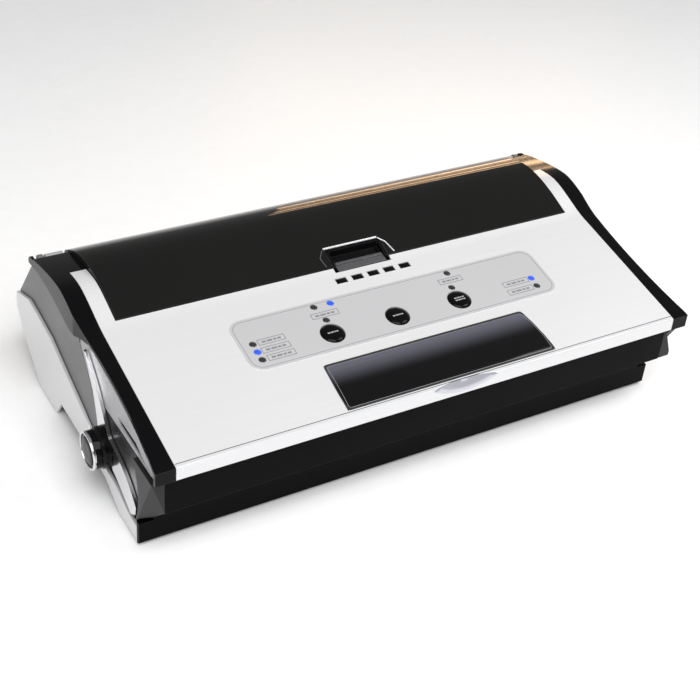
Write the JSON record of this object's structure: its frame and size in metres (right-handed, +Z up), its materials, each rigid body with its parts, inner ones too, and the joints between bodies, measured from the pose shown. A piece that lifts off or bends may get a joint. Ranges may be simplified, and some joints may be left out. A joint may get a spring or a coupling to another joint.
{
  "type": "vacuum sealer",
  "caption": "Countertop vacuum sealer with a hinged steel lid, side lock lever, push-button panel and a covered bag-roll compartment with cutter.",
  "frame": {"origin": "on the table under the middle of the machine, bottom of the rubber feet", "axes": "+X to the right along the width, +Y from the lid front edge to the back, +Z up"},
  "size_m": [0.424, 0.242, 0.1173],
  "materials": {
    "black_shell": "satin moulded",
    "dark_grey_shell": "fine texture",
    "silver_panel": "satin silver paint",
    "grey_shell": "fine texture",
    "light_shell": "fine texture",
    "gloss_black": "high gloss",
    "window_black": "gloss with a brushed sheen",
    "tinted_cover": "dark tinted, polished",
    "brushed_plate": "fine brushing across the width",
    "overlay_film": "silver printed film",
    "bright_strip": "bright",
    "lever_metal": "satin chrome",
    "grey_tab": "satin",
    "led_blue": "lit lens",
    "led_dark": "unlit lens",
    "rubber": "matt",
    "silicone": "soft matt",
    "steel": "plain",
    "rail_aluminium": "extruded",
    "red_plastic": "satin",
    "heater_base": "laminate",
    "release_tape": "coated glass cloth",
    "tray_black": "satin",
    "white_plastic": "satin",
    "circuit_board": "solder mask"
  },
  "bodies": {
    "base": {"base_pan": "black_shell", "front_housing": "black_shell", "left_side_frame": "dark_grey_shell", "right_side_frame": "dark_grey_shell", "roll_cradle": "dark_grey_shell", "left_side_panel": "silver_panel", "right_side_panel": "silver_panel", "left_cheek": "grey_shell", "right_cheek": "grey_shell", "rear_cover": "grey_shell", "mains_inlet": "gloss_black", "rubber_feet": "rubber", "lower_gasket": "rubber", "vacuum_hose": "silicone", "hinge_pins": "steel", "base_screws": "steel", "heater_element": "steel", "pump_motor": "steel", "cutter_rail": "rail_aluminium", "lid_switches": "red_plastic", "heater_bar": "heater_base", "heater_tape": "release_tape", "drip_tray": "tray_black", "vacuum_port": "white_plastic", "pump_head": "white_plastic", "vacuum_switch": "white_plastic", "shaft_bushes": "white_plastic", "power_board": "circuit_board"},
    "lid": {"lid_plate": "brushed_plate", "lid_shell": "light_shell", "left_end_cap": "gloss_black", "right_end_cap": "gloss_black", "front_strip": "bright_strip", "finger_grip": "bright_strip", "window": "window_black", "control_overlay": "overlay_film", "leds_lit": "led_blue", "leds_dark": "led_dark", "level_windows": "gloss_black", "control_board": "circuit_board", "lid_inner_cover": "black_shell", "upper_gasket": "rubber", "pressure_strip": "silicone", "lid_hooks": "steel"},
    "roll_cover": {"roll_cover": "tinted_cover", "latch_housing": "gloss_black", "latch_trim": "bright_strip"},
    "latch": {"latch_tab": "grey_tab"},
    "cutter": {"cutter_slider": "red_plastic", "cutter_blade": "steel"},
    "lever": {"lever_shaft": "steel", "lever_arms": "lever_metal", "left_hub": "lever_metal", "left_hub_cap": "gloss_black", "right_shaft_cap": "gloss_black", "lock_cams": "steel"},
    "seal_button": {"seal_button": "gloss_black"},
    "stop_button": {"stop_button": "gloss_black"},
    "vacuum_button": {"vacuum_button": "gloss_black"}
  },
  "joints": [
    {"name": "lid_hinge", "type": "hinge", "parent": "base", "child": "lid", "pos_m": [0, 0.0815, 0.1005], "axis": [-1, 0, 0], "range_deg": [0, 65]},
    {"name": "roll_cover_hinge", "type": "hinge", "parent": "lid", "child": "roll_cover", "pos_m": [0, 0.0815, 0.1005], "axis": [-1, 0, 0], "range_deg": [0, 75]},
    {"name": "latch_slide", "type": "slide", "parent": "roll_cover", "child": "latch", "axis": [0, 0.9781, 0.2079], "range_m": [0, 0.0035], "stiffness_N_per_m": 300},
    {"name": "cutter_slide", "type": "slide", "parent": "base", "child": "cutter", "axis": [1, 0, 0], "range_m": [-0.15, 0.15]},
    {"name": "lever_turn", "type": "hinge", "parent": "base", "child": "lever", "pos_m": [0, -0.043, 0.04], "axis": [-1, 0, 0], "range_deg": [0, 40]},
    {"name": "seal_button_press", "type": "slide", "parent": "lid", "child": "seal_button", "axis": [0, 0.2079, -0.9781], "range_m": [0, 0.0008], "stiffness_N_per_m": 600},
    {"name": "stop_button_press", "type": "slide", "parent": "lid", "child": "stop_button", "axis": [0, 0.2079, -0.9781], "range_m": [0, 0.0008], "stiffness_N_per_m": 600},
    {"name": "vacuum_button_press", "type": "slide", "parent": "lid", "child": "vacuum_button", "axis": [0, 0.2079, -0.9781], "range_m": [0, 0.0008], "stiffness_N_per_m": 600}
  ]
}
